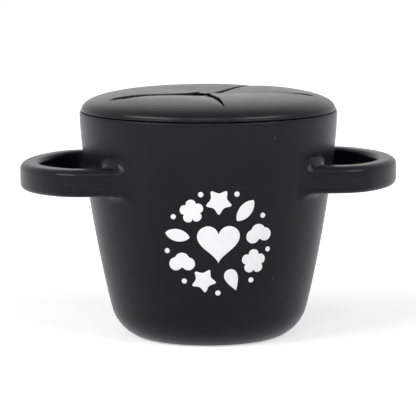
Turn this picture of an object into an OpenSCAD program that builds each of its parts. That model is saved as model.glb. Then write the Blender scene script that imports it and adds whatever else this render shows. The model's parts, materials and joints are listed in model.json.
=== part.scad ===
// Toddler snack cup with two loop handles and a push-in lid with five soft petals.
// Millimetres. The cup stands on the XY plane, its axis is Z, the handles point along X
// and the front of the cup faces -Y.

/* [Cup] */
// Outer diameter of the cup at its rim
rim_d = 89.4; // [82:0.2:100]
// Height of the cup from the table to its rim
cup_h = 78.7; // [70:0.1:92]
// Outer diameter of the cup where its side turns into the foot
foot_d = 68; // [60:0.5:74]
// Height at which the side turns into the foot
foot_h = 10; // [7:0.5:14]
// Lean of the side from upright just above the foot, in degrees
side_lean = 14.3; // [8:0.1:18]
// Reach of the upright stretch below the rim, as the pull on the side's curve
side_upper_pull = 11.8; // [6:0.1:20]
// Reach of the leaning stretch above the foot, as the pull on the side's curve
side_lower_pull = 22.8; // [12:0.1:32]
// Pull of the foot's curve down along the side
foot_upper_pull = 6.4; // [3:0.1:8]
// Pull of the foot's curve out along the table
foot_lower_pull = 3.6; // [2:0.1:8]
// Outer diameter of the ring that rests on the table
contact_d = 46.6; // [40:0.2:54]
// Thickness of the cup's side wall
cup_wall = 2.6; // [2:0.1:3.4]
// Thickness of the cup's floor
floor_t = 2.6; // [2:0.1:5]
// Height of the shallow recess under the floor
base_recess = 0.8; // [0.4:0.1:1.4]
// Width of the ring that rests on the table
base_ring_w = 3; // [2:0.5:6]
// Rounding of the two edges of the rim
rim_round = 0.3; // [0.2:0.1:0.9]

/* [Lid seat] */
// Thickness of the cup's wall beside the lid's plug
seat_wall = 3.2; // [2.8:0.1:4]
// Depth of the straight seat below the rim
seat_depth = 10.5; // [9:0.5:14]
// Height of the slope that leads from the seat to the wall below it
seat_slope_h = 1.5; // [1:0.1:3]
// Gap all round between the plug's skirt and the seat
plug_gap = 0.5; // [0.3:0.05:0.8]
// Gap all round between the plug's sealing ribs and the seat
rib_gap = 0.1; // [0.05:0.01:0.2]
// Gap between the lid's underside and the top of the rim
rim_gap = 0.05; // [0.02:0.01:0.1]

/* [Lid] */
// Step from the edge of the rim in to the edge of the lid
lid_inset = 0.7; // [0.4:0.1:1.2]
// Height of the lid's upright edge
lid_edge_h = 0.6; // [0.6:0.1:3]
// Rounding under the lid's edge
lid_edge_round = 0.4; // [0.2:0.1:0.5]
// Rise of the dome above the lid's edge
dome_h = 6.8; // [4:0.1:12]
// Fullness of the dome as seen from above
dome_plan_power = 3.25; // [2:0.05:4]
// Fullness of the dome as seen from the side
dome_side_power = 2.15; // [2:0.05:3]
// Sag of the dome at its middle
sag = 1.1; // [0:0.1:2]
// Radius inside which the dome sags
sag_r = 30.5; // [20:0.5:36]
// Thickness of the lid's top and of its petals
top_t = 1.8; // [1.4:0.1:2.6]
// Thickness of the plug's skirt
skirt_t = 2.2; // [1.6:0.1:3]
// Length of the plug below the rim
plug_len = 9; // [6:0.5:9]
// Lead-in slope at the plug's lower edge
plug_lead = 0.7; // [0.4:0.1:0.8]
// Thickness of a sealing rib
rib_t = 1.6; // [1:0.1:2]
// Depth of the upper sealing rib below the rim
rib_first = 2.6; // [1.6:0.1:3]
// Distance between the sealing ribs
rib_pitch = 3.4; // [2.2:0.1:3.6]
// Number of sealing ribs
rib_count = 2; // [1:1:2]

/* [Petals] */
// Distance from the outer end of a slit to the edge of the lid
slit_margin = 6; // [5.5:0.1:10]
// Direction of the slit at the back right, in degrees from +X
first_slit = 57.6; // [0:0.1:71.9]
// Width of a slit
slit_gap = 0.5; // [0.4:0.05:1]
// Distance from the middle to a petal's blunt tip
tip_r = 3; // [2:0.1:6]
// Length of the cut-back corners beside a petal's root
corner_len = 4; // [2:0.5:8]
// Gap round a petal's rounded root
root_gap = 0.3; // [0.2:0.05:0.5]
// How far the tips hang at rest: back, left, front left, front right, right
tip_droop = [0.8, 0, 0.9, 0.2, 0.5];

/* [Handles] */
// Reach of a handle beyond the edge of the rim
handle_reach = 20.8; // [17:0.1:26]
// Width of a handle from front to back
handle_w = 62.5; // [56:0.5:68]
// Outer radius of the two corners of a handle's far end
handle_corner_r = 16.5; // [10:0.1:22]
// Bow of a handle's far end beyond its corners
handle_bow = 6.2; // [2:0.1:8]
// Height of the middle of the handles above the table
handle_z = 57.3; // [30:0.1:64]
// Thickness of a handle's bar, seen from above
handle_t = 6.8; // [5:0.1:9]
// Height of a handle's bar
handle_h = 9.4; // [6:0.1:12]
// Rounding of the long edges of a handle's bar
handle_round = 2; // [0.5:0.1:2.4]
// Reach of the fillet along the bar, and its growth above and below, where a handle meets the cup
root_fillet = 3.5; // [1:0.1:4]
// Growth of that fillet into the loop
root_inner_fillet = 5.5; // [1:0.1:7]
// Growth of that fillet away from the loop
root_outer_fillet = 1.5; // [0.5:0.1:4]

/* [Hidden] */

$fn = 96;
curve_steps = 12;
round_steps = 4;
bend_steps = 8;
fillet_steps = 4;
dome_steps = 14;

cup_colour = [0.16, 0.16, 0.18];
lid_colour = [0.22, 0.22, 0.23];

// Radii and heights that follow from the driving sizes
rim_r = rim_d / 2;
foot_r = foot_d / 2;
contact_r = contact_d / 2;
seat_r = rim_r - seat_wall;
floor_top = base_recess + floor_t;
lid_r = rim_r - lid_inset;
lid_z0 = cup_h + rim_gap;
dome_z0 = lid_z0 + lid_edge_h;
skirt_r = seat_r - plug_gap;
skirt_in_r = skirt_r - skirt_t;
plug_z = cup_h - plug_len;

// The petals, their roots and the pentagon that they fill
petal_count = 5;
half_petal = 180 / petal_count;
slit_r = lid_r - slit_margin;
root_x = slit_r * cos(half_petal);
root_half_w = slit_r * sin(half_petal);
hinge_z = (dome_top(root_x) + dome_top(slit_r) - top_t) / 2;
root_r = (dome_top(root_x) - dome_top(slit_r) + top_t) / 2;
root_clear_r = root_r + root_gap;
side_inset = slit_gap / 2 / cos(half_petal);
root_corner = root_half_w - root_r * tan(half_petal) - slit_gap;

// The arcs that make a handle's outline
handle_tip_x = rim_r + handle_reach;
corner_x = handle_tip_x - handle_bow - handle_corner_r;
corner_y = handle_w / 2 - handle_corner_r;
end_r = handle_corner_r + (pow(handle_bow, 2) + pow(corner_y, 2)) / (2 * handle_bow);
end_x = handle_tip_x - end_r;
bend_angle = atan2(corner_y, corner_x - end_x);

// ---------------------------------------------------------------- curves

function unit(v) = v / norm(v);

// A curve from p[0] to p[3] that p[1] and p[2] pull on, and its heading
function curve(p, t) = pow(1 - t, 3) * p[0] + 3 * pow(1 - t, 2) * t * p[1]
                       + 3 * (1 - t) * t * t * p[2] + pow(t, 3) * p[3];
function heading(p, t) = unit(pow(1 - t, 2) * (p[1] - p[0]) + 2 * (1 - t) * t * (p[2] - p[1])
                              + t * t * (p[3] - p[2]));

// The point of the curve, moved in from the outer skin by a thickness
function inside(p, t, thickness) = curve(p, t)
                                   + thickness * [heading(p, t)[1], -heading(p, t)[0]];

// Points along an arc, without its first point
function arc(centre, r, from, to) = [for (i = [1 : round_steps])
    let (a = from + (to - from) * i / round_steps) centre + r * [cos(a), sin(a)]];

function reversed(list) = [for (i = [len(list) - 1 : -1 : 0]) list[i]];

// ---------------------------------------------------------------- cup

// The outside, from the rim down the side and round the foot
side_dir = [sin(side_lean), cos(side_lean)];
foot_top = [foot_r, foot_h];
side_curve = [[rim_r, cup_h - rim_round], [rim_r, cup_h - rim_round - side_upper_pull],
              foot_top + side_lower_pull * side_dir, foot_top];
foot_curve = [foot_top, foot_top - foot_upper_pull * side_dir,
              [contact_r + foot_lower_pull, 0], [contact_r, 0]];

outside = concat([for (i = [0 : curve_steps]) curve(side_curve, i / curve_steps)],
                 [for (i = [1 : curve_steps]) curve(foot_curve, i / curve_steps)]);

// The inside below the lid's seat, where the wall grows to the floor's thickness at the foot
inside_side = [for (i = [0 : curve_steps]) inside(side_curve, i / curve_steps, cup_wall)];
inside_foot = [for (i = [1 : curve_steps])
    inside(foot_curve, i / curve_steps,
           cup_wall + (floor_top - cup_wall) * sqrt(i / curve_steps))];
seat_foot_z = cup_h - seat_depth - seat_slope_h;
below_seat = [for (p = concat(inside_side, inside_foot)) if (p[1] < seat_foot_z) p];

module cup_section() {
    polygon(concat(
        [[0, base_recess],
         [contact_r - base_ring_w - base_recess, base_recess],
         [contact_r - base_ring_w, 0]],
        reversed(outside),
        arc([rim_r - rim_round, cup_h - rim_round], rim_round, 0, 90),
        [[seat_r + rim_round, cup_h]],
        arc([seat_r + rim_round, cup_h - rim_round], rim_round, 90, 180),
        [[seat_r, cup_h - seat_depth]],
        below_seat,
        [[0, floor_top]]));
}

module cup_shell() {
    color(cup_colour) rotate_extrude() cup_section();
}

// The cup's outer form without its hollow, which the handles grow out of
module cup_form() {
    rotate_extrude() polygon(concat([[0, 0]], reversed(outside), [[0, cup_h - rim_round]]));
}

// ---------------------------------------------------------------- handles

// Points round a bar's section, [outwards, up], swollen by a share of the fillet's growth
function bar_section(share) = [for (quarter = [0 : 3], i = [0 : round_steps])
    let (a = 90 * (quarter + i / round_steps),
         side = quarter == 0 || quarter == 3 ? 1 : -1,
         top = quarter < 2 ? 1 : -1,
         growth = side == 1 ? root_outer_fillet : root_inner_fillet)
    [side * (handle_t / 2 - handle_round) + (handle_round + share * growth) * cos(a),
     top * (handle_h / 2 - handle_round) + (handle_round + share * fillet_r) * sin(a)]];

// Distance along X at which the cup's outer wall lies, beside and above the origin
wall_radii = [for (p = reversed(outside)) [p[1], p[0]]];
function wall_x(y, z) = sqrt(pow(lookup(z, wall_radii), 2) - y * y);

// A ring of points round a straight bar, at a distance from the cup's wall
function root_ring(side, from_wall, share) = [for (p = bar_section(share))
    let (y = side * ((handle_w - handle_t) / 2 + p[0]), z = handle_z + p[1])
    [wall_x(y, z) + from_wall, y, z]];

// The ring inside the cup where a bar is cut off square
function buried_ring(side, share) = [for (p = bar_section(share))
    [corner_x / 2, side * ((handle_w - handle_t) / 2 + p[0]), handle_z + p[1]]];

// A ring round the bent end, square to the direction a seen from its arc's centre
function bend_ring(a) = let (
    on_corner = abs(a) > bend_angle,
    centre = on_corner ? [corner_x, sign(a) * corner_y] : [end_x, 0],
    middle_r = (on_corner ? handle_corner_r : end_r) - handle_t / 2)
    [for (p = bar_section(0)) [centre[0] + (middle_r + p[0]) * cos(a),
                               centre[1] + (middle_r + p[0]) * sin(a), handle_z + p[1]]];

// The fillet leaves the bar short of the loop's corner, turns towards the wall and runs on into it
root_room = corner_x - wall_x(handle_w / 2 - handle_t, handle_z + handle_h / 2);
fillet_r = min(root_fillet, 0.9 * root_room);
last_turn = 90 * (fillet_steps - 1) / fillet_steps;
sunk_part = 1 / 8;
sunk_share = 1 - cos(last_turn) + (sunk_part + 1 - sin(last_turn)) * tan(last_turn);
function root_rings(side) = concat(
    [for (i = [0 : fillet_steps - 1]) let (a = 90 * i / fillet_steps)
        root_ring(side, fillet_r * (1 - sin(a)), 1 - cos(a))],
    [root_ring(side, -fillet_r * sunk_part, sunk_share), buried_ring(side, sunk_share)]);

bend_directions = concat(
    [for (i = [0 : bend_steps]) 90 - (90 - bend_angle) * i / bend_steps],
    [for (i = [1 : bend_steps - 1]) bend_angle - 2 * bend_angle * i / bend_steps],
    [for (i = [bend_steps : -1 : 0]) -90 + (90 - bend_angle) * i / bend_steps]);

// A closed skin over rings of points that follow each other
module skin(rings) {
    n = len(rings[0]);
    last = len(rings) - 1;
    polyhedron(
        points = [for (ring = rings) each ring],
        faces = concat(
            [for (i = [0 : last - 1], j = [0 : n - 1], half = [0, 1])
                let (k = (j + 1) % n, a = i * n, b = a + n)
                half == 0 ? [a + j, a + k, b + k] : [a + j, b + k, b + j]],
            [for (j = [1 : n - 2]) [0, j + 1, j]],
            [for (j = [1 : n - 2]) [last * n, last * n + j, last * n + j + 1]]));
}

module handle() {
    difference() {
        skin(concat(reversed(root_rings(1)),
                    [for (a = bend_directions) bend_ring(a)],
                    root_rings(-1)));
        cup_form();
    }
}

module right_handle() {
    color(cup_colour) handle();
}

module left_handle() {
    color(cup_colour) mirror([1, 0, 0]) handle();
}

// ---------------------------------------------------------------- lid

// Height of the lid's top at a distance r from the axis
function sag_at(r) = r < sag_r ? sag * pow(1 - pow(r / sag_r, 2), 2) : 0;
function dome_top(r) = dome_z0 - sag_at(r)
    + dome_h * pow(1 - pow(min(r / lid_r, 1), dome_plan_power), 1 / dome_side_power);

// Distances from the axis between two radii, closer together towards the lid's edge
function spread(r0, r1, n) = [for (i = [0 : n])
    let (a0 = asin(r0 / lid_r), a1 = asin(min(r1 / lid_r, 1))) lid_r * sin(a0 + (a1 - a0) * i / n)];

// The whole lid's section from a radius well inside the petals' roots out to its edge
ring_from = root_x - root_clear_r - 1;

module lid_section() {
    top = [for (r = spread(ring_from, lid_r, dome_steps)) [r, dome_top(r)]];
    under = [for (r = reversed(spread(ring_from, skirt_in_r, round_steps)))
        [r, dome_top(r) - top_t]];
    polygon(concat(
        top,
        [[lid_r, lid_z0 + lid_edge_round]],
        arc([lid_r - lid_edge_round, lid_z0 + lid_edge_round], lid_edge_round, 0, -90),
        [[skirt_r, lid_z0], [skirt_r, plug_z + plug_lead], [skirt_r - plug_lead, plug_z],
         [skirt_in_r, plug_z]],
        under));
}

module sealing_rib(depth) {
    translate([0, 0, cup_h - depth])
        rotate_extrude() translate([seat_r - rib_gap - rib_t / 2, 0]) circle(d = rib_t);
}

// A rounded root lies along Y at the origin of this cylinder
module root_rod(r, half_len) {
    translate([root_x, 0, hinge_z]) rotate([90, 0, 0])
        cylinder(r = r, h = 2 * half_len, center = true);
}

module lid_ring() {
    color(lid_colour) difference() {
        union() {
            rotate_extrude() lid_section();
            for (i = [0 : rib_count - 1]) sealing_rib(rib_first + i * rib_pitch);
        }
        for (i = [0 : petal_count - 1])
            rotate([0, 0, first_slit + (i + 0.5) * 360 / petal_count])
                root_rod(root_clear_r, root_corner + root_gap);
        translate([0, 0, plug_z]) rotate([0, 0, first_slit])
            cylinder(r = slit_r, h = dome_z0 + dome_h - plug_z, $fn = petal_count);
    }
}

// ---------------------------------------------------------------- petals

module petal_plan() {
    cut_x = root_x - corner_len;
    far_x = root_x + root_r;
    half = [[tip_r, tip_r * tan(half_petal) - side_inset],
            [cut_x, cut_x * tan(half_petal) - side_inset],
            [root_x, root_corner],
            [far_x, root_corner]];
    polygon(concat(half, [for (p = reversed(half)) [p[0], -p[1]]]));
}

module petal_sheet() {
    radii = spread(tip_r / 2, slit_r + root_r, dome_steps);
    rotate_extrude() polygon(concat([for (r = radii) [r, dome_top(r)]],
                                    [for (r = reversed(radii)) [r, dome_top(r) - top_t]]));
}

// A petal points from its root at +X in to the middle of the lid
module petal_at_rest_height() {
    intersection() {
        petal_sheet();
        translate([0, 0, plug_z]) linear_extrude(height = dome_z0 + dome_h - plug_z) petal_plan();
        union() {
            root_rod(root_r, root_half_w);
            translate([0, -root_half_w, plug_z])
                cube([root_x, 2 * root_half_w, dome_z0 + dome_h - plug_z]);
        }
    }
}

// The petals follow each other anticlockwise from the one at the back
module petal(index) {
    droop_angle = asin(tip_droop[index] / root_x);
    color(lid_colour) rotate([0, 0, first_slit + (index + 0.5) * 360 / petal_count])
        translate([root_x, 0, hinge_z]) rotate([0, -droop_angle, 0]) translate([-root_x, 0, -hinge_z])
            petal_at_rest_height();
}

module petal_back() petal(0);
module petal_left() petal(1);
module petal_front_left() petal(2);
module petal_front_right() petal(3);
module petal_right() petal(4);

cup_shell();
left_handle();
right_handle();
lid_ring();
petal_back();
petal_left();
petal_front_left();
petal_front_right();
petal_right();
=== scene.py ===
"""The looks of a toddler snack cup: a matt black silicone cup with two loop handles, a push-in
lid with five soft petals, and a generic white print. Sizes are in millimetres until a mesh is made."""

import json
import math

import bpy
import numpy as np
from mathutils import Matrix, Vector


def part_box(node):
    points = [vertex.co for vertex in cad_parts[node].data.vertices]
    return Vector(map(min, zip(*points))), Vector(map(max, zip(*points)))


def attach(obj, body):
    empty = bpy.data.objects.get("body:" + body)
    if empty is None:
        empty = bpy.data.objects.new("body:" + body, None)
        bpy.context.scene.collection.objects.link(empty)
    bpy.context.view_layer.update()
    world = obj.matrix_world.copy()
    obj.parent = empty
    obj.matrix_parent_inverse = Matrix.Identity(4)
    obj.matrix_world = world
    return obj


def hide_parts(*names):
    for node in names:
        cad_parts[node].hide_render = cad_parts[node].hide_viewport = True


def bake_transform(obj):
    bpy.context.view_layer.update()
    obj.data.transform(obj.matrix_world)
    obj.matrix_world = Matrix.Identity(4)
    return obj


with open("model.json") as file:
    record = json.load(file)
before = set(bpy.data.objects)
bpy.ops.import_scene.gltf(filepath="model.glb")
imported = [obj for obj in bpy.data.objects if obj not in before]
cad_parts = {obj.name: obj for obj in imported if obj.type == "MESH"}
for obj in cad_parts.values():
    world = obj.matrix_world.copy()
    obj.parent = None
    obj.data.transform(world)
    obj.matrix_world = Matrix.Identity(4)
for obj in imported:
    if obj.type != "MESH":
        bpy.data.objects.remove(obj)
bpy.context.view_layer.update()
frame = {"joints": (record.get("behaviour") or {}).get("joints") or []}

MM = 0.001


def cad_corners(node):
    """Lowest and highest corner of a CAD node, in millimetres."""
    low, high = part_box(node)
    return np.array(low) / MM, np.array(high) / MM


# ---------------------------------------------------------------- sizes

# Taken from the frame
CUP_HIGH = cad_corners("cup_shell")[1]
LID_LOW, LID_HIGH = cad_corners("lid_ring")
RIM_R = CUP_HIGH[0]
CUP_H = CUP_HIGH[2]
LID_R = LID_HIGH[0]
PLUG_Z = LID_LOW[2]
HANDLE_TIP_X = cad_corners("right_handle")[1][0]
BENDS = {joint["child"]: joint for joint in frame["joints"] if joint["type"] == "hinge"}

# The cup. Its outside is two pulled curves: the side, which leans in, and the foot. A pull is how far
# a curve keeps its heading at that end. The cup stands on a ring round a recess: CONTACT_R is its edge
FOOT_R = 34.0
FOOT_H = 10.0
SIDE_LEAN = math.radians(14.3)
SIDE_UPPER_PULL = 11.8
SIDE_LOWER_PULL = 22.8
FOOT_UPPER_PULL = 6.4
FOOT_LOWER_PULL = 3.6
CONTACT_R = 23.3
CUP_WALL = 2.6
BASE_RECESS = 0.8
BASE_RING_W = 3.0
FLOOR_TOP = 3.4
RIM_ROUND = 0.6
RIM_WALL = 3.2
SEAT_R = RIM_R - RIM_WALL
SEAT_DEPTH = 10.5
SEAT_SLOPE_H = 1.5
SEAT_TOP_DEPTH = 2.0
CORNER_ROUND = 0.4
BEVEL = 0.1

# Where the rows over the flat base and the flat floor start, and how far in from the foot they end
FLAT_START_R = 3.0
FLOOR_INSET = 1.0

# The faint line where the two halves of the mould met. Its steps are shares of its width
PARTING_Z = 57.3
PARTING_W = 0.34
PARTING_DEPTH = 0.05
PARTING_STEPS = (-0.6, -0.5, -0.2, 0, 0.2, 0.5, 0.6)

# The lid: a dome that dips in the middle, with a foot that flares out over a dark seam, and under it
# a plug with ribs. The dome's section is a superellipse with these two powers
RIM_GAP = 0.05
LID_EDGE_H = 0.6
LID_Z0 = CUP_H + RIM_GAP
DOME_Z0 = LID_Z0 + LID_EDGE_H
DOME_H = 6.8
DOME_PLAN_POWER = 3.25
DOME_SIDE_POWER = 2.15
SAG = 1.1
SAG_R = 30.5
TOP_T = 1.8
LID_EDGE_ROUND = 0.12
LID_FLARE = 0.4
SEAM_H = 0.25
SEAM_DEEP = 0.9
PLUG_GAP = 0.5
SKIRT_T = 2.2
SKIRT_R = SEAT_R - PLUG_GAP
SKIRT_IN_R = SKIRT_R - SKIRT_T
SKIRT_IN_START = 3.0
RIB_GAP = 0.1
RIB_R = SEAT_R - RIB_GAP
RIB_T = 1.6
RIB_DEPTHS = (2.6, 6.0)
RIB_SUNK = 0.05
PLUG_LEAD = 0.7

# The petals. ROOT_X is the distance from the lid's axis to the line on which a petal bends. The round
# on a cut grows from almost nothing at the root
PETALS = 5
HALF_PETAL = math.pi / PETALS
BACK_HINGE = np.array(BENDS["petal_back"]["pos_m"]) / MM
ROOT_X = math.hypot(BACK_HINGE[0], BACK_HINGE[1])
SLIT_W = 0.34
CUT_ROUND = 0.28
LEAST_ROUND = 0.02
ROUND_GROWS_OVER = 2.0

# The handles. The bars run round a corner, along a bowed end and round a second corner
HANDLE_W = 62.5
HANDLE_T = 6.8
HANDLE_H = 9.4
HANDLE_Z = 57.3
INNER_ROUND = 2.0
OUTER_ROUND = 2.3
HANDLE_CORNER_R = 16.5
HANDLE_BOW = 6.2
ROOT_FILLET = 3.5
ROOT_INNER_FILLET = 7.0
ROOT_OUTER_FILLET = 1.5
ROOT_START_X = 36.0
BACK_BAR_LIFT = 0.3
LEFT_TIP_DROP = 0.65
RIGHT_TIP_DROP = 0.0

# A handle's root goes on inside the cup's wall: distance from the wall, and the fillet's share
SUNK_ROOT = ((-CUP_WALL / 2, 1), (-0.1, 1.2), (-0.015, 1.07))

# The corners of a bar's section: outwards or inwards, up or down, and where the arc starts
BAR_CORNERS = ((1, 1, 0), (-1, 1, 90), (-1, -1, 180), (1, -1, 270))

# How finely the meshes are divided
CUP_SEGMENTS = 320
SIDE_STEPS = 400
FOOT_STEPS = 200
WALL_ROWS = 70
FOOT_ROWS = 31
INSIDE_ROWS = 61
FLAT_ROWS = 6
SEAT_ROWS = 5
BAR_ARC_STEPS = 8
ROOT_RINGS = 15
CORNER_RINGS = 25
END_RINGS = 17
DOME_ROWS = 30
CEILING_ROWS = 8
SKIRT_IN_ROWS = 4
SLIT_END_STEPS = 8
RIB_STEPS = 10
PETAL_COLUMNS = 48
PETAL_ROWS = 72
NOSE_RINGS = 14
CUT_STEPS = 5
MOTIF_POINTS = 96
QUARTERS = (0.25, 0.5, 0.75, 1)

# Small steps and limits of the sums
SLOPE_STEP = 0.02
NEAR_EDGE = 0.001
LEAST_R = 1e-6
LEAST_HALF = 1e-4


# ---------------------------------------------------------------- meshes

def link(name, mesh, material):
    """A new object in the scene with one material."""
    thing = bpy.data.objects.new(name, mesh)
    bpy.context.scene.collection.objects.link(thing)
    mesh.materials.append(material)
    return thing


def build_mesh(name, points, faces, material, normals=None):
    """A smooth mesh from points in millimetres. A normal of zero leaves that point's own one."""
    mesh = bpy.data.meshes.new(name)
    mesh.from_pydata([tuple(p) for p in np.asarray(points) * MM], [], faces)
    mesh.polygons.foreach_set("use_smooth", [True] * len(mesh.polygons))
    if normals is not None:
        mesh.normals_split_custom_set_from_vertices([tuple(n) for n in normals])
    mesh.validate()
    mesh.update()
    return link(name, mesh, material)


def strip_faces(rows, columns, closed):
    """Quads over a grid of points, row by row. A closed grid joins its last column to its first."""
    faces = []
    for i in range(rows - 1):
        for j in range(columns if closed else columns - 1):
            k = (j + 1) % columns
            faces.append((i * columns + j, i * columns + k, (i + 1) * columns + k, (i + 1) * columns + j))
    return faces


def end_caps(rows, columns):
    """One face over each end of a closed grid."""
    last = (rows - 1) * columns
    return [tuple(reversed(range(columns))), tuple(range(last, last + columns))]


def flipped(faces):
    """The faces, turned to look the other way."""
    return [tuple(reversed(face)) for face in faces]


def lathe(name, profile, segments, material):
    """Turns a profile of (radius, height) round the axis. Its two ends lie on the axis."""
    profile = np.asarray(profile)
    inner = profile[1:-1]
    turn = np.arange(segments) * 2 * math.pi / segments
    points = [(0, 0, profile[0, 1])]
    for r, z in inner:
        points += list(zip(r * np.cos(turn), r * np.sin(turn), np.full(segments, z)))
    points.append((0, 0, profile[-1, 1]))
    faces = [tuple(1 + n for n in face) for face in strip_faces(len(inner), segments, True)]
    last = 1 + (len(inner) - 1) * segments
    for j in range(segments):
        k = (j + 1) % segments
        faces.append((0, 1 + k, 1 + j))
        faces.append((len(points) - 1, last + j, last + k))
    return build_mesh(name, points, faces, material)


def arc(centre, radius, start, end, steps=6):
    """Points along an arc, with angles in degrees."""
    angles = np.radians(np.linspace(start, end, steps + 1))
    return [(centre[0] + radius * math.cos(a), centre[1] + radius * math.sin(a)) for a in angles]


# ---------------------------------------------------------------- the cup's curves

def pulled_curve(p, t):
    """A curve from p[0] to p[3] that p[1] and p[2] pull on, and its heading."""
    p = np.asarray(p, float)
    t = np.asarray(t)[:, None]
    place = (1 - t) ** 3 * p[0] + 3 * (1 - t) ** 2 * t * p[1] + 3 * (1 - t) * t ** 2 * p[2] + t ** 3 * p[3]
    heading = (1 - t) ** 2 * (p[1] - p[0]) + 2 * (1 - t) * t * (p[2] - p[1]) + t ** 2 * (p[3] - p[2])
    return place, heading / np.linalg.norm(heading, axis=1)[:, None]


SIDE_DIR = np.array((math.sin(SIDE_LEAN), math.cos(SIDE_LEAN)))
FOOT_TOP = np.array((FOOT_R, FOOT_H))
SIDE_CURVE = ((RIM_R, CUP_H - RIM_ROUND), (RIM_R, CUP_H - RIM_ROUND - SIDE_UPPER_PULL),
              FOOT_TOP + SIDE_LOWER_PULL * SIDE_DIR, FOOT_TOP)
FOOT_CURVE = (FOOT_TOP, FOOT_TOP - FOOT_UPPER_PULL * SIDE_DIR,
              (CONTACT_R + FOOT_LOWER_PULL, 0), (CONTACT_R, 0))
SIDE_POINTS = pulled_curve(SIDE_CURVE, np.linspace(0, 1, SIDE_STEPS))[0][::-1]
FOOT_POINTS = pulled_curve(FOOT_CURVE, np.linspace(0, 1, FOOT_STEPS))[0][::-1]
WALL_POINTS = np.concatenate([FOOT_POINTS, SIDE_POINTS[1:]])


def outer_r(z):
    """The radius of the cup's outside at a height, without the mould's parting line."""
    return np.interp(z, WALL_POINTS[:, 1], WALL_POINTS[:, 0])


def parting_groove(offset):
    """How deep the mould's parting line lies, at a distance above or below it."""
    return PARTING_DEPTH * np.clip(1 - np.abs(offset) / (PARTING_W / 2), 0, 1)


def inward(heading):
    """Headings down the wall, turned a quarter to point into the cup."""
    return np.stack([heading[:, 1], -heading[:, 0]], 1)


def cup_outside():
    """The cup's section from the middle of its recessed base, round its foot and up to its rim."""
    ring_in_r = CONTACT_R - BASE_RING_W
    recess_r = ring_in_r - BASE_RECESS
    profile = [(0, BASE_RECESS)]
    profile += [(r, BASE_RECESS) for r in np.linspace(FLAT_START_R, recess_r - CORNER_ROUND, FLAT_ROWS)]
    profile += [(recess_r, BASE_RECESS - BEVEL), (ring_in_r - CORNER_ROUND / 2, BEVEL)]
    profile += [(ring_in_r + CORNER_ROUND / 2, 0)]
    profile += [tuple(p) for p in pulled_curve(FOOT_CURVE, np.linspace(1, 0, FOOT_ROWS))[0]]
    near_line = [PARTING_Z + PARTING_W * k for k in PARTING_STEPS]
    levels = np.linspace(FOOT_H, CUP_H - RIM_ROUND, WALL_ROWS)[1:]
    levels = sorted([z for z in levels if abs(z - PARTING_Z) > PARTING_W] + near_line)
    profile += [(outer_r(z) - parting_groove(z - PARTING_Z), z) for z in levels]
    profile += arc((RIM_R - RIM_ROUND, CUP_H - RIM_ROUND), RIM_ROUND, 0, 90)[1:]
    return profile


def cup_inside():
    """The cup's section from its rim down the lid's seat and the wall to the middle of its floor."""
    seat_z = CUP_H - SEAT_DEPTH
    seat_heights = np.linspace(CUP_H - SEAT_TOP_DEPTH, seat_z + CORNER_ROUND, SEAT_ROWS)
    profile = arc((SEAT_R + RIM_ROUND, CUP_H - RIM_ROUND), RIM_ROUND, 90, 180)
    profile += [(SEAT_R, z) for z in seat_heights]
    profile.append((SEAT_R - BEVEL, seat_z - BEVEL))
    steps = np.linspace(0, 1, INSIDE_ROWS)
    side, side_way = pulled_curve(SIDE_CURVE, steps)
    side_in = side + CUP_WALL * inward(side_way)
    profile += [tuple(p) for p in side_in if p[1] < seat_z - SEAT_SLOPE_H]
    foot, foot_way = pulled_curve(FOOT_CURVE, steps)
    growth = (CUP_WALL + (FLOOR_TOP - CUP_WALL) * np.sqrt(steps))[:, None]
    foot_in = foot + growth * inward(foot_way)
    profile += [tuple(p) for p in foot_in[1::2]]
    profile += [(r, FLOOR_TOP) for r in np.linspace(CONTACT_R - FLOOR_INSET, FLAT_START_R, FLAT_ROWS)]
    profile.append((0, FLOOR_TOP))
    return profile


def make_cup():
    """The cup's moulding without its handles."""
    cup = lathe("cup_moulding", cup_outside() + cup_inside(), CUP_SEGMENTS, FINISHES["cup"])
    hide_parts("cup_shell")
    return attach(cup, "cup")


# ---------------------------------------------------------------- handles

def bar_section(share):
    """Points round a handle's bar, (outwards, up), with a share of the fillet's growth."""
    line = [PARTING_W * k for k in reversed(PARTING_STEPS)]
    points = []
    for side, top, start in BAR_CORNERS:
        rounding = OUTER_ROUND if side > 0 else INNER_ROUND
        across = side * (HANDLE_T / 2 - rounding)
        up = top * (HANDLE_H / 2 - rounding)
        reach = rounding + share * (ROOT_OUTER_FILLET if side > 0 else ROOT_INNER_FILLET)
        rise = rounding + share * ROOT_FILLET
        round_corner = arc((0, 0), 1, start, start + 90, BAR_ARC_STEPS)
        points += [(across + reach * x, up + rise * z) for x, z in round_corner]
        if start == 90:
            points += [(across - reach + parting_groove(z), z) for z in line]
        if start == 270:
            points += [(across + reach - parting_groove(z), z) for z in reversed(line)]
    return np.array(points)


def root_ring(side, from_wall, share):
    """A ring round a bar at a distance along X from the cup's wall."""
    section = bar_section(share)
    y = side * ((HANDLE_W - HANDLE_T) / 2 + section[:, 0])
    z = HANDLE_Z + section[:, 1]
    return np.stack([np.sqrt(outer_r(z) ** 2 - y ** 2) + from_wall, y, z], 1)


def bend_ring(centre, middle_r, angle):
    """A ring round the bend, square to a direction from its arc's centre."""
    section = bar_section(0)
    radius = middle_r + section[:, 0]
    return np.stack([centre[0] + radius * math.cos(angle), centre[1] + radius * math.sin(angle),
                     HANDLE_Z + section[:, 1]], 1)


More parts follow.
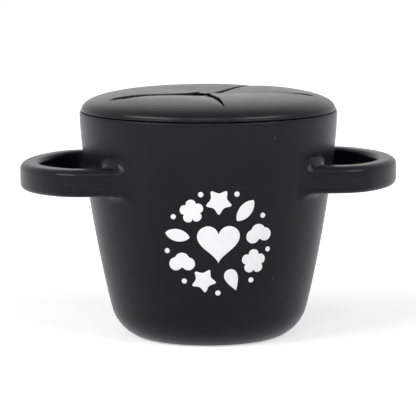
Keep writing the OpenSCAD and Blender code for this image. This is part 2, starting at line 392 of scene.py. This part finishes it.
def handle_rings():
    """All the rings of the right handle, from its back root round to its front root."""
    corner_x = HANDLE_TIP_X - HANDLE_BOW - HANDLE_CORNER_R
    corner_y = HANDLE_W / 2 - HANDLE_CORNER_R
    corner_r = HANDLE_CORNER_R - HANDLE_T / 2
    end_r = HANDLE_CORNER_R + (HANDLE_BOW ** 2 + corner_y ** 2) / (2 * HANDLE_BOW)
    end_x = HANDLE_TIP_X - end_r
    bend = math.atan2(corner_y, corner_x - end_x)
    root = list(SUNK_ROOT)
    for turn in np.radians(np.linspace(90, 0, ROOT_RINGS)):
        root.append((ROOT_FILLET * (1 - math.sin(turn)), 1 - math.cos(turn)))
    rings = []
    for side in (1, -1):
        corner = (corner_x, side * corner_y)
        half = [root_ring(side, away, share) for away, share in root]
        last = half[-1]
        first = bend_ring(corner, corner_r, side * math.pi / 2)
        half += [last + (first - last) * share for share in QUARTERS[:-1]]
        for angle in np.linspace(math.pi / 2, bend, CORNER_RINGS):
            half.append(bend_ring(corner, corner_r, side * angle))
        for angle in np.linspace(bend, 0, END_RINGS)[1:]:
            half.append(bend_ring((end_x, 0), end_r - HANDLE_T / 2, side * angle))
        rings += half if side == 1 else half[::-1][1:]
    return np.array(rings)


def make_handle(name, node, mirrored, tip_drop):
    """A soft handle hangs a little at its tip, and its bar at the back stands a little higher."""
    rings = handle_rings()
    rows, columns = rings.shape[:2]
    points = rings.reshape(-1, 3)
    along = np.clip((points[:, 0] - ROOT_START_X) / (HANDLE_TIP_X - ROOT_START_X), 0, 1)
    points[:, 2] += BACK_BAR_LIFT * np.clip(points[:, 1] / (HANDLE_W / 2), 0, 1) - tip_drop * along ** 2
    faces = strip_faces(rows, columns, True)
    faces += end_caps(rows, columns)
    if mirrored:
        points = points * (-1, 1, 1)
        faces = flipped(faces)
    handle = build_mesh(name, points, faces, FINISHES["cup"])
    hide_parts(node)
    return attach(handle, "cup")


# ---------------------------------------------------------------- the lid's ring

def dome_top(r):
    """Height of the lid's top at a distance from its axis."""
    r = np.minimum(np.asarray(r, float), LID_R)
    sag = np.where(r < SAG_R, SAG * (1 - (r / SAG_R) ** 2) ** 2, 0)
    return DOME_Z0 - sag + DOME_H * (1 - (r / LID_R) ** DOME_PLAN_POWER) ** (1 / DOME_SIDE_POWER)


def unit_normals(slope_x, slope_y):
    """Unit normals of a surface that rises by these slopes."""
    normals = np.stack([-slope_x, -slope_y, np.ones_like(slope_x)], -1)
    return normals / np.linalg.norm(normals, axis=-1, keepdims=True)


def dome_normals(x, y):
    """Unit normals of the dome, from its slope."""
    r = np.maximum(np.hypot(x, y), LEAST_R)
    outer = np.minimum(r + SLOPE_STEP, LID_R - NEAR_EDGE)
    slope = (dome_top(outer) - dome_top(r - SLOPE_STEP)) / (outer - r + SLOPE_STEP)
    return unit_normals(slope * x / r, slope * y / r)


def half_width(x, cut=0.0):
    """Half the width of a petal at a distance x from the lid's axis, along the petal."""
    return x * math.tan(HALF_PETAL) - (SLIT_W / 2 + cut) / math.cos(HALF_PETAL)


def petal_direction(node):
    """The angle about the lid's axis at which the middle of a petal's root lies."""
    x, y = BENDS[node]["pos_m"][:2]
    return math.atan2(y, x)


def turned(points, angle):
    """Points turned about the lid's axis."""
    points = np.array(points, float)
    c, s = math.cos(angle), math.sin(angle)
    x, y = points[..., 0].copy(), points[..., 1].copy()
    points[..., 0] = c * x - s * y
    points[..., 1] = s * x + c * y
    return points


def pentagon_edge():
    """Points (x, y) round the opening that the petals fill, with a round end on each slit."""
    corner = half_width(ROOT_X)
    chord = np.linspace(-(corner - CUT_ROUND), corner - CUT_ROUND, PETAL_COLUMNS + 1)
    side = [(ROOT_X, y) for y in (-corner, *chord, corner)]
    along = ROOT_X * math.cos(HALF_PETAL) + corner * math.sin(HALF_PETAL)
    end = arc((along, 0), SLIT_W / 2, -90, 90, SLIT_END_STEPS)[1:-1]
    loop = []
    for node in sorted(BENDS, key=lambda n: petal_direction(n) % (2 * math.pi)):
        direction = petal_direction(node)
        loop += list(turned(side, direction))
        loop += list(turned(end, direction + HALF_PETAL))
    return np.array(loop)


def rib_points(depth):
    """A sealing rib's round nose on the skirt, from its lower to its upper edge."""
    centre = (RIB_R - RIB_T / 2, CUP_H - depth)
    reach = math.degrees(math.acos((SKIRT_R + RIB_SUNK - centre[0]) / (RIB_T / 2)))
    return arc(centre, RIB_T / 2, -reach, reach, RIB_STEPS)


def skirt_profile():
    """The lid's section from its edge down round the plug and up inside, as (radius, height)."""
    edge = LID_R + LID_FLARE - LID_EDGE_ROUND
    foot = LID_Z0 + SEAM_H + LID_EDGE_ROUND
    lead_z = PLUG_Z + PLUG_LEAD
    lead_r = SKIRT_R - PLUG_LEAD
    ceiling = dome_top(SKIRT_IN_R) - TOP_T
    points = [(LID_R + LID_FLARE * k ** 2, DOME_Z0 + (foot - DOME_Z0) * k) for k in QUARTERS]
    points += arc((edge, foot), LID_EDGE_ROUND, 0, -90)[1:]
    points += [(edge - SEAM_DEEP, LID_Z0 + SEAM_H), (edge - SEAM_DEEP - SEAM_H, LID_Z0)]
    points += [(SKIRT_R + CORNER_ROUND, LID_Z0), (SKIRT_R, LID_Z0 - CORNER_ROUND)]
    for depth in RIB_DEPTHS:
        points += reversed(rib_points(depth))
    points += [(SKIRT_R, lead_z + 2 * BEVEL), (SKIRT_R - BEVEL, lead_z - BEVEL)]
    points += [(lead_r + BEVEL, PLUG_Z + BEVEL), (lead_r - BEVEL, PLUG_Z)]
    points += [(SKIRT_IN_R + CORNER_ROUND, PLUG_Z), (SKIRT_IN_R, PLUG_Z + CORNER_ROUND)]
    heights = np.linspace(PLUG_Z + SKIRT_IN_START, ceiling - CORNER_ROUND, SKIRT_IN_ROWS)
    return points + [(SKIRT_IN_R, z) for z in heights]


def lid_rows():
    """Rows of points round the lid, and their normals: out from the petals' opening over the dome, down
    round the skirt, up inside it and in under the dome to the opening."""
    loop = pentagon_edge()
    columns = len(loop)
    angle = np.arctan2(loop[:, 1], loop[:, 0])
    way = np.stack([np.cos(angle), np.sin(angle)], 1)
    loop_r = np.hypot(loop[:, 0], loop[:, 1])
    rows, normals = [], []
    start = np.arcsin(loop_r / LID_R)
    for share in np.linspace(0, 1, DOME_ROWS):
        r = LID_R * np.sin(start + (math.pi / 2 - start) * share)
        place = way * r[:, None]
        rows.append(np.column_stack([place, dome_top(r)]))
        normals.append(dome_normals(place[:, 0], place[:, 1]) if share < 1 else np.zeros((columns, 3)))
    for r, z in skirt_profile():
        rows.append(np.column_stack([way * r, np.full(columns, z)]))
        normals.append(np.zeros((columns, 3)))
    for share in np.linspace(0, 1, CEILING_ROWS)[1:]:
        r = SKIRT_IN_R + (loop_r - SKIRT_IN_R) * share
        place = way * r[:, None]
        rows.append(np.column_stack([place, dome_top(r) - TOP_T]))
        normals.append(-dome_normals(place[:, 0], place[:, 1]))
    return rows, normals


def make_lid():
    """The lid's moulding without its petals: top, edge, skirt with two ribs, and underside."""
    rows, normals = lid_rows()
    columns = len(rows[0])
    faces = strip_faces(len(rows), columns, True)
    last = (len(rows) - 1) * columns
    for j in range(columns):
        k = (j + 1) % columns
        faces.append((last + j, last + k, k, j))
    faces = flipped(faces)
    lid = build_mesh("lid_moulding", np.concatenate(rows), faces, FINISHES["lid"], np.concatenate(normals))
    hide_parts("lid_ring")
    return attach(lid, "lid")


# ---------------------------------------------------------------- petals

# How each petal rests. Its tip hangs by "droop" and ends at "tip" from the middle. Its edges before
# and after it, going anticlockwise as seen from above, rise along four pulls from the slit's outer
# end in to the middle, and each cut is opened by "open_before" and "open_after".
PETAL_FORMS = {
    "petal_back": {"droop": 0.8, "before": (-0.7, -0.2, -0.7, 0.3), "after": (0, 0, 0, 0),
                   "open_before": 0.12, "open_after": 0.0, "tip": 1.6},
    "petal_left": {"droop": 0.1, "before": (0, 0, 0, 0), "after": (0.5, -0.7, -0.8, 0.65),
                   "open_before": 0.0, "open_after": 0.0, "tip": 3.4},
    "petal_front_left": {"droop": 0.9, "before": (-0.6, -1.7, -0.1, -0.45), "after": (0, -0.8, -0.6, 0),
                         "open_before": 0.12, "open_after": 1.9, "tip": 1.4},
    "petal_front_right": {"droop": 0.3, "before": (0, 0, -0.2, 0), "after": (0.1, -1.0, -0.5, 0),
                          "open_before": 0.0, "open_after": 0.0, "tip": 1.8},
    "petal_right": {"droop": 1.0, "before": (0.5, -0.7, -0.9, -0.1), "after": (-0.9, -0.3, -1.1, 0.1),
                    "open_before": 0.0, "open_after": 0.12, "tip": 2.6},
}

# The droop grows towards the tip by a power. A raised edge starts over EDGE_START from the root and fades
# over EDGE_REACH from the edge. The tip is rounded over TIP_ROUND, and the cuts open over OPEN_FROM from the
# lid's middle. A cut's round takes up no more than ROUND_SHARE of the petal's half width
DROOP_POWER = 1.6
EDGE_REACH = 3.6
EDGE_START = 1.4
TIP_ROUND = 1.6
TIP_POWER = 2.6
OPEN_FROM = 5.0
ROUND_SHARE = 0.6


def pulled(pulls, share):
    """A smooth run along four pulls, at a share of the way from the first to the last."""
    a, b, c, d = pulls
    rest = 1 - share
    return a * rest ** 3 + 3 * b * rest ** 2 * share + 3 * c * rest * share ** 2 + d * share ** 3


def petal_height(form, x, y):
    """Height of a petal's top at a place in its own frame, with its root across +X."""
    along = np.clip((ROOT_X - x) / (ROOT_X - form["tip"]), 0, 1)
    z = dome_top(np.hypot(x, y)) - form["droop"] * along ** DROOP_POWER
    growth = 1 - np.exp(-(np.maximum(ROOT_X - x, 0) / EDGE_START) ** 2)
    half = np.maximum(x, 0) * math.tan(HALF_PETAL)
    share = np.clip((ROOT_X - x) / ROOT_X, 0, 1)
    for pulls, side in ((form["before"], -1), (form["after"], 1)):
        from_edge = np.maximum(half - side * y, 0) * math.cos(HALF_PETAL)
        z = z + pulled(pulls, share) * growth * np.exp(-from_edge / EDGE_REACH)
    return z


def petal_normals(form, x, y):
    """Unit normals of a petal's top, from its slopes."""
    run = 2 * SLOPE_STEP
    slope_x = (petal_height(form, x + SLOPE_STEP, y) - petal_height(form, x - SLOPE_STEP, y)) / run
    slope_y = (petal_height(form, x, y + SLOPE_STEP) - petal_height(form, x, y - SLOPE_STEP)) / run
    return unit_normals(slope_x, slope_y)


def petal_sides(form, x):
    """The petal's lowest and highest y at x, with its cuts opened and its tip rounded off."""
    opened = (1 - (x / ROOT_X) ** 3) * (1 - math.exp(-(x / OPEN_FROM) ** 2))
    low = -half_width(x, form["open_before"] * opened)
    high = half_width(x, form["open_after"] * opened)
    into = np.clip((form["tip"] + TIP_ROUND - x) / TIP_ROUND, 0, 1)
    narrowing = (1 - into ** TIP_POWER) ** (1 / TIP_POWER)
    middle = (low + high) / 2
    return middle + (low - middle) * narrowing, middle + (high - middle) * narrowing


def petal_ring(form, x, cut_round):
    """Points and normals round a petal's section at x: top, side, underside and other side."""
    low, high = petal_sides(form, x)
    half = max((high - low) / 2, LEAST_HALF)
    edge = min(cut_round, ROUND_SHARE * half)
    y_top = np.linspace(low + edge, high - edge, PETAL_COLUMNS + 1)
    x_top = np.full_like(y_top, x)
    top = np.column_stack([x_top, y_top, petal_height(form, x_top, y_top)])
    top_normals = petal_normals(form, x_top, y_top)
    turns = np.radians(np.linspace(90, 0, CUT_STEPS))[1:]
    upper = [(high - edge + edge * math.cos(turn), -edge + edge * math.sin(turn)) for turn in turns]
    middle = [(high, -TOP_T / 3), (high, -2 * TOP_T / 3)]
    lower = [(y, -TOP_T - up) for y, up in reversed(upper)]
    right = upper + middle + lower
    left = [(low + high - y, up) for y, up in reversed(right)]
    sides = []
    for side in (right, left):
        y = np.array([place[0] for place in side])
        up = np.array([place[1] for place in side])
        x_side = np.full_like(y, x)
        z = petal_height(form, x_side, np.clip(y, low + edge, high - edge)) + up
        sides.append(np.column_stack([x_side, y, z]))
    bottom = top[::-1] - (0, 0, TOP_T)
    own = np.zeros((len(right), 3))
    ring = np.concatenate([top, sides[0], bottom, sides[1]])
    return ring, np.concatenate([top_normals, own, -top_normals[::-1], own])


def petal_rings(form):
    """A petal's rings and their normals, from its root to its tip, in its own frame."""
    body_end = form["tip"] + TIP_ROUND
    nose = np.linspace(math.pi / 2, 0, NOSE_RINGS)[1:]
    stations = list(ROOT_X + (body_end - ROOT_X) * np.linspace(0, 1, PETAL_ROWS))
    stations += list(form["tip"] + TIP_ROUND * (1 - np.cos(nose)))
    rings, normals = [], []
    for x in stations:
        grown = min((ROOT_X - x) / ROUND_GROWS_OVER, 1)
        ring, ring_normals = petal_ring(form, x, LEAST_ROUND + (CUT_ROUND - LEAST_ROUND) * grown)
        rings.append(ring)
        normals.append(ring_normals)
    # The root's top lies on the same points as the edge of the lid's opening
    columns = PETAL_COLUMNS + 1
    reach = half_width(ROOT_X) - CUT_ROUND
    y = np.linspace(-reach, reach, columns)
    rings[0][:columns] = np.column_stack([np.full(columns, ROOT_X), y, dome_top(np.hypot(ROOT_X, y))])
    return rings, normals


def make_petal(node):
    """A petal whose root meets the lid's opening point for point."""
    direction = petal_direction(node)
    rings, normals = petal_rings(PETAL_FORMS[node])
    rows, columns = len(rings), len(rings[0])
    points = turned(np.concatenate(rings), direction)
    normals = turned(np.concatenate(normals), direction)
    faces = strip_faces(rows, columns, True)
    faces += end_caps(rows, columns)
    petal = build_mesh(node + "_moulding", points, faces, FINISHES["lid"], normals)
    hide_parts(node)
    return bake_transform(petal)


# ---------------------------------------------------------------- the print

# Places and sizes on the cup's front
PRINT_PROUD = 0.06
PRINT_MIDDLE_TURN = math.radians(0.2)
PRINT_MIDDLE_Z = 38.0
PRINT_RING_R = 14.2
HEART_DROP = -0.6
HEART_SIZE = 14.5
DOT_GAP = 3.6
DOT_RING_R = PRINT_RING_R + DOT_GAP
DOT_SIZE = 1.8
MOTIF_SWAY = 0.15

# The skin of ink, from under its edge in to its middle: shares of the outline and of its thickness
INK_SHARES = (1.0, 1.0, 0.985, 0.8, 0.6, 0.4, 0.2)
INK_LIFTS = (-0.02, 0.6, 1.0, 1.0, 1.0, 1.0, 1.0)

# The motifs' forms, where 1 is half a motif's size
FLOWER_PETALS = 5
FLOWER_MIDDLE_R = 0.62
STAR_POINTS = 5
STAR_SHARPNESS = 7
STAR_SPREAD = 4
STAR_MIDDLE_R = 0.62
HEART_W = 16
LEAF_HALF_W = 0.5
LEAF_POINT = 1.5
DROP_HALF_W = 0.74
DROP_HALF_H = 0.95
DROP_POINT = 1.2
CLOUD_CIRCLES = ((-0.5, -0.12, 0.56), (0.0, 0.2, 0.62), (0.52, -0.1, 0.54))


# Each outline below gives places (across, up) for angles t that run clockwise from the top

def dot(t):
    return np.stack([np.sin(t), np.cos(t)], -1)


def flower(t):
    lobes = np.sqrt(np.abs(np.cos(FLOWER_PETALS / 2 * t)))
    return dot(t) * (FLOWER_MIDDLE_R + (1 - FLOWER_MIDDLE_R) * lobes)[:, None]


def star(t):
    turn = STAR_POINTS / 4 * t
    wave = np.abs(np.cos(turn)) ** STAR_SHARPNESS + np.abs(np.sin(turn)) ** STAR_SHARPNESS
    return dot(t) * (wave ** (-1 / STAR_SPREAD) * STAR_MIDDLE_R)[:, None]


def heart(t):
    """The well-known heart curve, moved up to the middle of its height."""
    x = HEART_W * np.sin(t) ** 3
    y = 13 * np.cos(t) - 5 * np.cos(2 * t) - 2 * np.cos(3 * t) - np.cos(4 * t) + 2
    return np.stack([x, y], -1) / HEART_W


def leaf(t):
    return np.stack([LEAF_HALF_W * np.sign(np.sin(t)) * np.abs(np.sin(t)) ** LEAF_POINT, np.cos(t)], -1)


def drop(t):
    return np.stack([DROP_HALF_W * np.sin(t) * np.sin(t / 2) ** DROP_POINT, DROP_HALF_H * np.cos(t)], -1)


def cloud(t):
    """The outer edge of three circles."""
    way = dot(t)
    reach = np.zeros(len(t))
    for x, y, radius in CLOUD_CIRCLES:
        along = way @ np.array((x, y))
        reach = np.maximum(reach, along + np.sqrt(np.maximum(along ** 2 - x * x - y * y + radius ** 2, 0)))
    return way * reach[:, None]


def on_wall(across, up, lift):
    """Points of the print's flat layout, wrapped onto the cup's front, at a share of the ink's thickness."""
    z = PRINT_MIDDLE_Z + up * math.cos(SIDE_LEAN / 2)
    turn = across / outer_r(z) + PRINT_MIDDLE_TURN
    r = outer_r(z) + PRINT_PROUD * lift
    return np.stack([r * np.sin(turn), -r * np.cos(turn), z], -1)


def make_motif(name, outline, across, up, size, turn=0.0):
    """A printed motif: a thin skin of ink on the wall with a rolled edge."""
    flat = outline(np.arange(MOTIF_POINTS) * 2 * math.pi / MOTIF_POINTS) * size / 2
    c, s = math.cos(turn), math.sin(turn)
    flat = np.stack([c * flat[:, 0] + s * flat[:, 1], -s * flat[:, 0] + c * flat[:, 1]], -1)
    rings = [on_wall(across + flat[:, 0] * share, up + flat[:, 1] * share, lift)
             for share, lift in zip(INK_SHARES, INK_LIFTS)]
    points = np.concatenate(rings + [on_wall(np.array([across]), np.array([up]), 1)])
    columns = MOTIF_POINTS
    faces = strip_faces(len(rings), columns, True)
    last = (len(rings) - 1) * columns
    faces += [(last + j, last + (j + 1) % columns, len(points) - 1) for j in range(columns)]
    faces.append(tuple(reversed(range(columns))))
    motif = build_mesh(name, points, flipped(faces), FINISHES["ink"])
    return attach(motif, "cup")


def make_print():
    """A heart, nine motifs in a ring round it, and a dot outside each gap of the ring."""
    make_motif("print_heart", heart, 0, HEART_DROP, HEART_SIZE)
    ring = [("star", star, 9.4), ("leaf", leaf, 9.0), ("cloud", cloud, 8.6), ("flower", flower, 8.6),
            ("drop", drop, 8.4), ("star_low", star, 8.8), ("cloud_low", cloud, 8.4), ("leaf_low", leaf, 8.6),
            ("flower_low", flower, 8.2)]
    for i, (name, outline, size) in enumerate(ring):
        angle = 2 * math.pi * i / len(ring)
        turn = angle if outline in (leaf, drop) else MOTIF_SWAY * math.sin(3 * angle)
        across, up = PRINT_RING_R * math.sin(angle), PRINT_RING_R * math.cos(angle)
        make_motif("print_" + name, outline, across, up, size, turn)
    for i in range(len(ring)):
        angle = 2 * math.pi * (i + 0.5) / len(ring)
        across, up = DOT_RING_R * math.sin(angle), DOT_RING_R * math.cos(angle)
        make_motif(f"print_dot_{i + 1}", dot, across, up, DOT_SIZE)


# ---------------------------------------------------------------- materials

# Tones are linear colours, and pairs are the low and high end of a range
CUP_TONE = (0.0038, 0.0043, 0.0074)
CUP_SHINE = 0.2
CUP_ROUGHNESS = (0.29, 0.33)
LID_TONE = (0.0026, 0.0028, 0.0036)
LID_SHINE = 0.26
LID_ROUGHNESS = (0.28, 0.32)
SILICONE_IOR = 1.41
CLOUD_SCALE = 55
CLOUD_RANGE = (0.3, 0.7)
CLOUD_TONES = (0.86, 1.18)
ROUGHNESS_SCALE = 160
INK_TONE = (0.80, 0.81, 0.82)
INK_LOW_TONE = 0.955
INK_ROUGHNESS = (0.55, 0.62)
INK_SCALE = 420
INK_RANGE = (0.35, 0.65)
TOOTH_DEPTH = 0.00003
DUST_TONE = (0.05, 0.05, 0.055)
DUST_SCALE = 260
DUST_REACH = (0.05, 0.1)
DUST_CHOSEN = 0.93


def new_material(name):
    """A new node material, its nodes and links, and its shader."""
    material = bpy.data.materials.new(name)
    material.use_nodes = True
    nodes = material.node_tree.nodes
    return material, nodes, material.node_tree.links, nodes["Principled BSDF"]


def noise(nodes, links, coordinates, scale, detail=2.0):
    """A smooth noise, about 0 to 1."""
    texture = nodes.new("ShaderNodeTexNoise")
    texture.inputs["Scale"].default_value = scale
    texture.inputs["Detail"].default_value = detail
    links.new(coordinates, texture.inputs["Vector"])
    return texture.outputs["Fac"]


def ranged(nodes, links, value, given, wanted):
    """A value carried from a given range to a wanted one and held inside it."""
    node = nodes.new("ShaderNodeMapRange")
    for key, number in zip(("From Min", "From Max", "To Min", "To Max"), (*given, *wanted)):
        node.inputs[key].default_value = number
    links.new(value, node.inputs["Value"])
    return node.outputs["Result"]


def arithmetic(nodes, links, operation, first, second):
    """One step of a sum, held between 0 and 1. The second value may be a plain number."""
    node = nodes.new("ShaderNodeMath")
    node.operation = operation
    node.use_clamp = True
    links.new(first, node.inputs[0])
    if isinstance(second, float):
        node.inputs[1].default_value = second
    else:
        links.new(second, node.inputs[1])
    return node.outputs[0]


def mixed_colour(nodes, links, share, first, second):
    """The first colour turning into the second. Each is three numbers or another node's colour."""
    node = nodes.new("ShaderNodeMix")
    node.data_type = "RGBA"
    links.new(share, node.inputs["Factor"])
    for socket, colour in ((node.inputs["A"], first), (node.inputs["B"], second)):
        if isinstance(colour, tuple):
            socket.default_value = (*colour, 1)
        else:
            links.new(colour, socket)
    return node.outputs["Result"]


def toned(tone, share):
    """A colour made darker or lighter by a share."""
    return tuple(share * part for part in tone)


def dust(nodes, links, coordinates):
    """Sparse specks of dust, as a share from 0 to 1: the middles of a few chosen cells."""
    cells = nodes.new("ShaderNodeTexVoronoi")
    cells.inputs["Scale"].default_value = DUST_SCALE
    links.new(coordinates, cells.inputs["Vector"])
    speck = ranged(nodes, links, cells.outputs["Distance"], DUST_REACH, (1, 0))
    split = nodes.new("ShaderNodeSeparateColor")
    links.new(cells.outputs["Color"], split.inputs["Color"])
    chosen = arithmetic(nodes, links, "GREATER_THAN", split.outputs["Red"], DUST_CHOSEN)
    return arithmetic(nodes, links, "MULTIPLY", speck, chosen)


def fine_tooth(nodes, links, shader, coordinates, scale, strength):
    """A fine unevenness of the surface, as a bump."""
    tooth = nodes.new("ShaderNodeBump")
    tooth.inputs["Strength"].default_value = strength
    tooth.inputs["Distance"].default_value = TOOTH_DEPTH
    links.new(noise(nodes, links, coordinates, scale), tooth.inputs["Height"])
    links.new(tooth.outputs["Normal"], shader.inputs["Normal"])


def silicone(name, tone, shine, roughness):
    """Matt black moulded silicone: a faint cloudiness, a fine tooth and a few specks of dust."""
    material, nodes, links, shader = new_material(name)
    coordinates = nodes.new("ShaderNodeTexCoord").outputs["Object"]
    clouds = noise(nodes, links, coordinates, CLOUD_SCALE, detail=4)
    cloudy = ranged(nodes, links, clouds, CLOUD_RANGE, (0, 1))
    darker, lighter = [toned(tone, share) for share in CLOUD_TONES]
    colour = mixed_colour(nodes, links, cloudy, darker, lighter)
    colour = mixed_colour(nodes, links, dust(nodes, links, coordinates), colour, DUST_TONE)
    links.new(colour, shader.inputs["Base Color"])
    uneven = noise(nodes, links, coordinates, ROUGHNESS_SCALE, detail=3)
    links.new(ranged(nodes, links, uneven, CLOUD_RANGE, roughness), shader.inputs["Roughness"])
    shader.inputs["IOR"].default_value = SILICONE_IOR
    shader.inputs["Specular IOR Level"].default_value = shine
    fine_tooth(nodes, links, shader, coordinates, scale=3200, strength=0.25)
    return material


def ink():
    """Matt white ink with a slightly uneven body."""
    material, nodes, links, shader = new_material("white_ink")
    coordinates = nodes.new("ShaderNodeTexCoord").outputs["Object"]
    body = ranged(nodes, links, noise(nodes, links, coordinates, INK_SCALE, detail=3), INK_RANGE, (0, 1))
    colour = mixed_colour(nodes, links, body, toned(INK_TONE, INK_LOW_TONE), INK_TONE)
    links.new(colour, shader.inputs["Base Color"])
    links.new(ranged(nodes, links, body, (0, 1), INK_ROUGHNESS), shader.inputs["Roughness"])
    fine_tooth(nodes, links, shader, coordinates, scale=2400, strength=0.2)
    return material


# ---------------------------------------------------------------- the studio

SKY_LEVEL = 0.12
FLOOR_TONE = 0.9
# Near the cup the floor's glow is lower than far off: painted shade round the foot, added to the real shadow
FLOOR_GLOW_NEAR_PAINTED_SHADE = 0.48
FLOOR_GLOW_FAR = 0.85
GLOW_NEAR_R = 0.06
GLOW_FAR_R = 0.4
FLOOR_SIZE = 9.0
WHITE = (1, 1, 1, 1)


def seen_rays(nodes, links):
    """1 for camera, glossy and transmission rays, else 0."""
    path = nodes.new("ShaderNodeLightPath")
    total = path.outputs["Is Camera Ray"]
    for key in ("Is Glossy Ray", "Is Transmission Ray"):
        total = arithmetic(nodes, links, "ADD", total, path.outputs[key])
    return total


def make_sky():
    """A white background, which gives the scene itself only a low level of light."""
    world = bpy.data.worlds.new("studio")
    world.use_nodes = True
    nodes, links = world.node_tree.nodes, world.node_tree.links
    background = nodes["Background"]
    background.inputs["Color"].default_value = WHITE
    strength = ranged(nodes, links, seen_rays(nodes, links), (0, 1), (SKY_LEVEL, 1))
    links.new(strength, background.inputs["Strength"])
    bpy.context.scene.world = world


def floor_finish():
    """A pale matt floor with a soft glow that grows away from the cup, so that it goes over to white. Near
    the cup the glow is kept low as painted shade: on top of the real shadow, it darkens the floor round the
    foot and the foot's underside that mirrors it.
    """
    material, nodes, links, _ = new_material("pale_floor")
    nodes.clear()
    matt = nodes.new("ShaderNodeBsdfDiffuse")
    matt.inputs["Color"].default_value = (FLOOR_TONE, FLOOR_TONE, FLOOR_TONE, 1)
    reach = nodes.new("ShaderNodeVectorMath")
    reach.operation = "LENGTH"
    links.new(nodes.new("ShaderNodeTexCoord").outputs["Object"], reach.inputs[0])
    # The glow's lower level near the cup is painted shade round the foot
    levels = (FLOOR_GLOW_NEAR_PAINTED_SHADE, FLOOR_GLOW_FAR)
    level = ranged(nodes, links, reach.outputs["Value"], (GLOW_NEAR_R, GLOW_FAR_R), levels)
    glow = nodes.new("ShaderNodeEmission")
    links.new(arithmetic(nodes, links, "MULTIPLY", level, seen_rays(nodes, links)), glow.inputs["Strength"])
    both = nodes.new("ShaderNodeAddShader")
    links.new(matt.outputs[0], both.inputs[0])
    links.new(glow.outputs[0], both.inputs[1])
    output = nodes.new("ShaderNodeOutputMaterial")
    links.new(both.outputs[0], output.inputs["Surface"])
    return material


def make_floor():
    """A square of floor under the cup, large enough to fill the view."""
    half = FLOOR_SIZE / 2 / MM
    corners = [(-half, -half, 0), (half, -half, 0), (half, half, 0), (-half, half, 0)]
    floor = build_mesh("floor", corners, [(0, 1, 2, 3)], floor_finish())


def make_lamp(name, azimuth, elevation, distance, width, height, power):
    """A softbox that faces the lid. Azimuth 0 is in front of the cup, 90 at its right."""
    lamp = bpy.data.lights.new(name, "AREA")
    lamp.shape = "RECTANGLE"
    lamp.size = width
    lamp.size_y = height
    lamp.energy = power
    thing = bpy.data.objects.new(name, lamp)
    bpy.context.scene.collection.objects.link(thing)
    a, e = math.radians(azimuth), math.radians(elevation)
    way = Vector((math.sin(a) * math.cos(e), -math.cos(a) * math.cos(e), math.sin(e)))
    target = Vector((0, 0, CUP_H * MM))
    thing.location = target + way * distance
    thing.rotation_euler = (-way).to_track_quat("-Z", "Y").to_euler()


def make_lamps():
    """Low, wide softboxes at the front and sides, and a large weak one behind for the lid's top."""
    make_lamp("left_softbox", azimuth=-60, elevation=27, distance=1.2, width=0.9, height=0.24, power=10.6)
    make_lamp("right_softbox", azimuth=45, elevation=27, distance=1.2, width=0.8, height=0.24, power=8)
    make_lamp("front_softbox", azimuth=-8, elevation=27, distance=1.2, width=0.5, height=0.24, power=2.4)
    make_lamp("back_softbox", azimuth=180, elevation=36, distance=1.3, width=0.7, height=1.2, power=0.68)


# The camera's place in front of the cup, which is turned a little on its axis
CAMERA_AWAY = 973.0
CAMERA_UP = 176.6
CAMERA_PITCH = 0.1351
CAMERA_ROLL = -0.0049
CAMERA_YAW = -0.0003
CUP_TURN = math.radians(-4.4)
CAMERA_LENS = 243.55
SENSOR_W = 36


def make_camera():
    """The camera looks a little down. Its place and heading are turned with the cup."""
    data = bpy.data.cameras.new("camera")
    data.lens = CAMERA_LENS
    data.sensor_width = SENSOR_W
    camera = bpy.data.objects.new("camera", data)
    bpy.context.scene.collection.objects.link(camera)
    cp, sp = math.cos(CAMERA_PITCH), math.sin(CAMERA_PITCH)
    ahead = Vector((math.sin(CAMERA_YAW) * cp, math.cos(CAMERA_YAW) * cp, -sp))
    right = Vector((math.cos(CAMERA_YAW), -math.sin(CAMERA_YAW), 0))
    up = right.cross(ahead)
    rolled = Matrix.Rotation(CAMERA_ROLL, 3, -ahead)
    right, up = rolled @ right, rolled @ up
    axes = Matrix((right, up, -ahead)).transposed().to_4x4()
    place = Matrix.Translation(Vector((0, -CAMERA_AWAY, CAMERA_UP)) * MM)
    camera.matrix_world = Matrix.Rotation(CUP_TURN, 4, "Z") @ place @ axes
    bpy.context.scene.camera = camera


# ---------------------------------------------------------------- the whole

bpy.context.scene.view_settings.view_transform = "Standard"
FINISHES = {
    "cup": silicone("soft_black_cup", CUP_TONE, CUP_SHINE, CUP_ROUGHNESS),
    "lid": silicone("soft_black_lid", LID_TONE, LID_SHINE, LID_ROUGHNESS),
    "ink": ink(),
}
make_cup()
make_handle("left_handle_moulding", "left_handle", mirrored=True, tip_drop=LEFT_TIP_DROP)
make_handle("right_handle_moulding", "right_handle", mirrored=False, tip_drop=RIGHT_TIP_DROP)
make_lid()
for petal_node in BENDS:
    make_petal(petal_node)
make_print()
make_sky()
make_floor()
make_lamps()
make_camera()
